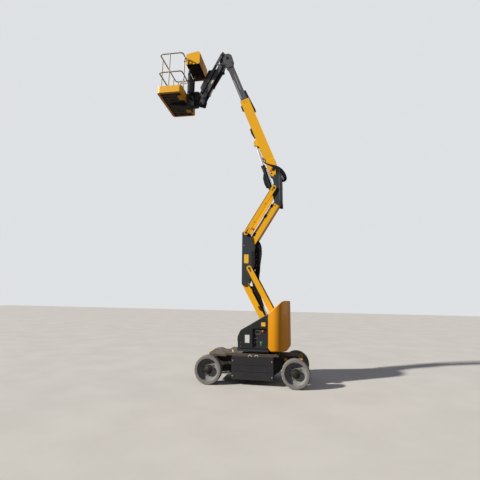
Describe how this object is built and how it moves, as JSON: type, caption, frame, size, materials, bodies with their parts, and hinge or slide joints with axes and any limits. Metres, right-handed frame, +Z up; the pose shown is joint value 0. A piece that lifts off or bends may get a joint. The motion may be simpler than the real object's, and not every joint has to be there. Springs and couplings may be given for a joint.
{
  "type": "articulating boom lift",
  "caption": "Self-propelled articulating boom lift: slewing turret, folding two-stage riser, telescopic boom, jib and a railed work platform on a wheeled chassis.",
  "frame": {"origin": "on the ground under the middle of the parked machine as the picture shows it; the slew axis stands 670 mm behind it", "axes": "+Z up, +X the way the boom points from the turret, +Y to the left of the machine"},
  "size_m": [3.8177, 1.42, 8.5992],
  "materials": {
    "paint_yellow": "gloss enamel",
    "paint_amber": "gloss enamel",
    "paint_charcoal": "satin enamel",
    "paint_dark": "satin enamel",
    "paint_grey": "satin enamel",
    "plastic_charcoal": "fine moulded grain",
    "plastic_dark": "moulded",
    "hub_dark": "painted casting",
    "steel_ring": "machined",
    "grating_steel": "galvanised, weathered",
    "rail_silver": "silver enamel",
    "tyre_grey": "non-marking rubber",
    "rim_grey": "light grey enamel",
    "barrel_black": "semi gloss enamel",
    "chrome_rod": "hard chrome"
  },
  "bodies": {
    "chassis": {"chassis_frame": "paint_dark", "deck": "paint_dark", "tie_downs": "paint_yellow", "tray_left": "plastic_dark", "tray_right": "plastic_dark", "drive_hub_left": "hub_dark", "drive_hub_right": "hub_dark", "slew_ring": "steel_ring"},
    "knuckle_left": {"knuckle_left": "hub_dark"},
    "knuckle_right": {"knuckle_right": "hub_dark"},
    "tie_rod": {"tie_rod": "hub_dark"},
    "wheel_front_left": {"tyre_front_left": "tyre_grey", "rim_front_left": "rim_grey"},
    "wheel_front_right": {"tyre_front_right": "tyre_grey", "rim_front_right": "rim_grey"},
    "wheel_rear_left": {"tyre_rear_left": "tyre_grey", "rim_rear_left": "rim_grey"},
    "wheel_rear_right": {"tyre_rear_right": "tyre_grey", "rim_rear_right": "rim_grey"},
    "turret": {"turret_frame": "paint_charcoal", "hood_left": "plastic_charcoal", "hood_right": "plastic_charcoal", "control_tray_left": "plastic_dark", "control_tray_right": "plastic_dark", "counterweight": "paint_amber"},
    "front_link": {"front_link": "paint_yellow"},
    "rear_link": {"rear_link": "paint_yellow"},
    "mid_upright": {"mid_upright": "paint_charcoal", "hose_cover": "plastic_dark"},
    "upper_link": {"upper_link": "paint_yellow"},
    "upper_arm": {"upper_arm": "paint_yellow"},
    "top_upright": {"top_upright": "paint_charcoal"},
    "boom": {"boom_base": "paint_yellow", "boom_trough": "plastic_dark"},
    "extension": {"boom_extension": "paint_grey"},
    "jib_head": {"jib_head": "paint_charcoal"},
    "jib_beam": {"jib_beam": "paint_grey"},
    "jib_link": {"jib_link": "paint_grey", "hose_guard": "plastic_dark"},
    "platform_mount": {"platform_mount": "paint_charcoal"},
    "platform": {"platform_support": "paint_charcoal", "platform_floor": "grating_steel", "toe_boards": "paint_yellow", "rails_left": "rail_silver", "rails_right": "rail_silver", "rails_outer": "rail_silver", "rails_inner": "rail_silver", "console_cover": "paint_amber", "console_box": "plastic_dark"},
    "gate": {"gate": "rail_silver"},
    "riser_barrel": {"riser_barrel": "barrel_black"},
    "riser_rod": {"riser_rod": "chrome_rod"},
    "lift_barrel": {"lift_barrel": "barrel_black"},
    "lift_rod": {"lift_rod": "chrome_rod"},
    "jib_barrel": {"jib_barrel": "barrel_black"},
    "jib_rod": {"jib_rod": "chrome_rod"}
  },
  "joints": [
    {"name": "slew", "type": "hinge", "parent": "chassis", "child": "turret", "pos_m": [-0.67, 0, 0.698], "axis": [0, 0, 1], "range_deg": [-177.5, 177.5]},
    {"name": "riser_lift", "type": "hinge", "parent": "turret", "child": "front_link", "pos_m": [-1.084, 0, 0.975], "axis": [0, -1, 0], "range_deg": [-65.5, 8.5]},
    {"name": "rear_link_turn", "type": "hinge", "parent": "turret", "child": "rear_link", "pos_m": [-1.204, 0, 1.319], "axis": [0, -1, 0], "range_deg": [-65.5, 8.5]},
    {"name": "mid_level", "type": "hinge", "parent": "front_link", "child": "mid_upright", "pos_m": [-0.42982, 0, 2.17986], "axis": [0, -1, 0], "range_deg": [-8.5, 65.5]},
    {"name": "upper_link_turn", "type": "hinge", "parent": "mid_upright", "child": "upper_link", "pos_m": [-0.46581, 0, 3.38086], "axis": [0, -1, 0], "range_deg": [-8.5, 65.5]},
    {"name": "upper_arm_turn", "type": "hinge", "parent": "mid_upright", "child": "upper_arm", "pos_m": [-0.55881, 0, 3.04786], "axis": [0, -1, 0], "range_deg": [-8.5, 65.5]},
    {"name": "top_level", "type": "hinge", "parent": "upper_arm", "child": "top_upright", "pos_m": [-1.24747, 0, 4.17164], "axis": [0, -1, 0], "range_deg": [-65.5, 8.5]},
    {"name": "riser_barrel_turn", "type": "hinge", "parent": "turret", "child": "riser_barrel", "pos_m": [-1.04, 0, 0.99], "axis": [0, -1, 0], "range_deg": [-61.24, 7.96]},
    {"name": "riser_rod_slide", "type": "slide", "parent": "riser_barrel", "child": "riser_rod", "axis": [0.3285, 0, 0.9445], "range_m": [-0.3434, 0.0454]},
    {"name": "boom_lift", "type": "hinge", "parent": "top_upright", "child": "boom", "pos_m": [-1.12347, 0, 5.02064], "axis": [0, -1, 0], "range_deg": [-69, 3]},
    {"name": "lift_barrel_turn", "type": "hinge", "parent": "top_upright", "child": "lift_barrel", "pos_m": [-1.09947, 0, 4.41964], "axis": [0, -1, 0], "range_deg": [-44.15, 1.93]},
    {"name": "lift_rod_slide", "type": "slide", "parent": "lift_barrel", "child": "lift_rod", "axis": [0.3056, 0, 0.9522], "range_m": [-0.4692, 0.0214]},
    {"name": "telescope", "type": "slide", "parent": "boom", "child": "extension", "axis": [0.3584, 0, 0.9336], "range_m": [-1.1, 0.06]},
    {"name": "jib_level", "type": "hinge", "parent": "extension", "child": "jib_head", "pos_m": [0.14412, 0, 8.37304], "axis": [0, -1, 0], "range_deg": [-3, 69]},
    {"name": "jib_lift", "type": "hinge", "parent": "jib_head", "child": "jib_beam", "pos_m": [0.30312, 0, 8.16504], "axis": [0, -1, 0], "range_deg": [0, 119]},
    {"name": "jib_link_turn", "type": "hinge", "parent": "jib_head", "child": "jib_link", "pos_m": [0.29012, 0, 8.47804], "axis": [0, -1, 0], "range_deg": [0, 119]},
    {"name": "mount_level", "type": "hinge", "parent": "jib_beam", "child": "platform_mount", "pos_m": [0.8467, 0, 7.05054], "axis": [0, -1, 0], "range_deg": [-119, 0]},
    {"name": "jib_barrel_turn", "type": "hinge", "parent": "jib_head", "child": "jib_barrel", "pos_m": [0.26312, 0, 7.99504], "axis": [0, -1, 0], "range_deg": [-0.01, 115.8]},
    {"name": "jib_rod_slide", "type": "slide", "parent": "jib_barrel", "child": "jib_rod", "axis": [0.4795, 0, -0.8775], "range_m": [-0.001, 0.2977]},
    {"name": "platform_swing", "type": "hinge", "parent": "platform_mount", "child": "platform", "pos_m": [0.9847, 0, 7.19054], "axis": [0, 0, 1], "range_deg": [-90, 90]},
    {"name": "gate_swing", "type": "hinge", "parent": "platform", "child": "gate", "pos_m": [1.7827, -0.663, 7.5], "axis": [0, 0, -1], "range_deg": [0, 90]},
    {"name": "steer_left", "type": "hinge", "parent": "chassis", "child": "knuckle_left", "pos_m": [-1.612, 0.458, 0.3], "axis": [0, 0, 1], "range_deg": [-35, 35]},
    {"name": "steer_right", "type": "hinge", "parent": "chassis", "child": "knuckle_right", "pos_m": [-1.612, -0.458, 0.3], "axis": [0, 0, 1], "range_deg": [-35, 35]},
    {"name": "tie_rod_turn", "type": "hinge", "parent": "knuckle_left", "child": "tie_rod", "pos_m": [-1.462, 0.458, 0.312], "axis": [0, 0, 1], "range_deg": [-35, 35]},
    {"name": "roll_front_left", "type": "hinge", "parent": "chassis", "child": "wheel_front_left", "pos_m": [0.272, 0.62, 0.3], "axis": [0, 1, 0], "continuous": true},
    {"name": "roll_front_right", "type": "hinge", "parent": "chassis", "child": "wheel_front_right", "pos_m": [0.272, -0.62, 0.3], "axis": [0, 1, 0], "continuous": true},
    {"name": "roll_rear_left", "type": "hinge", "parent": "knuckle_left", "child": "wheel_rear_left", "pos_m": [-1.612, 0.62, 0.3], "axis": [0, 1, 0], "continuous": true},
    {"name": "roll_rear_right", "type": "hinge", "parent": "knuckle_right", "child": "wheel_rear_right", "pos_m": [-1.612, -0.62, 0.3], "axis": [0, 1, 0], "continuous": true}
  ],
  "couplings": [
    {"joint": "rear_link_turn", "follows": "riser_lift", "ratio": 1},
    {"joint": "mid_level", "follows": "riser_lift", "ratio": -1},
    {"joint": "upper_link_turn", "follows": "riser_lift", "ratio": -1},
    {"joint": "upper_arm_turn", "follows": "riser_lift", "ratio": -1},
    {"joint": "top_level", "follows": "riser_lift", "ratio": 1},
    {"joint": "riser_barrel_turn", "follows": "riser_lift", "ratio": 0.93476},
    {"joint": "riser_rod_slide", "follows": "riser_lift", "m_per_rad": 0.29948},
    {"joint": "lift_barrel_turn", "follows": "boom_lift", "ratio": 0.63975},
    {"joint": "lift_rod_slide", "follows": "boom_lift", "m_per_rad": 0.3888},
    {"joint": "jib_level", "follows": "boom_lift", "ratio": -1},
    {"joint": "jib_link_turn", "follows": "jib_lift", "ratio": 1},
    {"joint": "mount_level", "follows": "jib_lift", "ratio": -1},
    {"joint": "jib_barrel_turn", "follows": "jib_lift", "ratio": 0.97303},
    {"joint": "jib_rod_slide", "follows": "jib_lift", "m_per_rad": 0.14285},
    {"joint": "steer_right", "follows": "steer_left", "ratio": 1},
    {"joint": "tie_rod_turn", "follows": "steer_left", "ratio": -1}
  ]
}
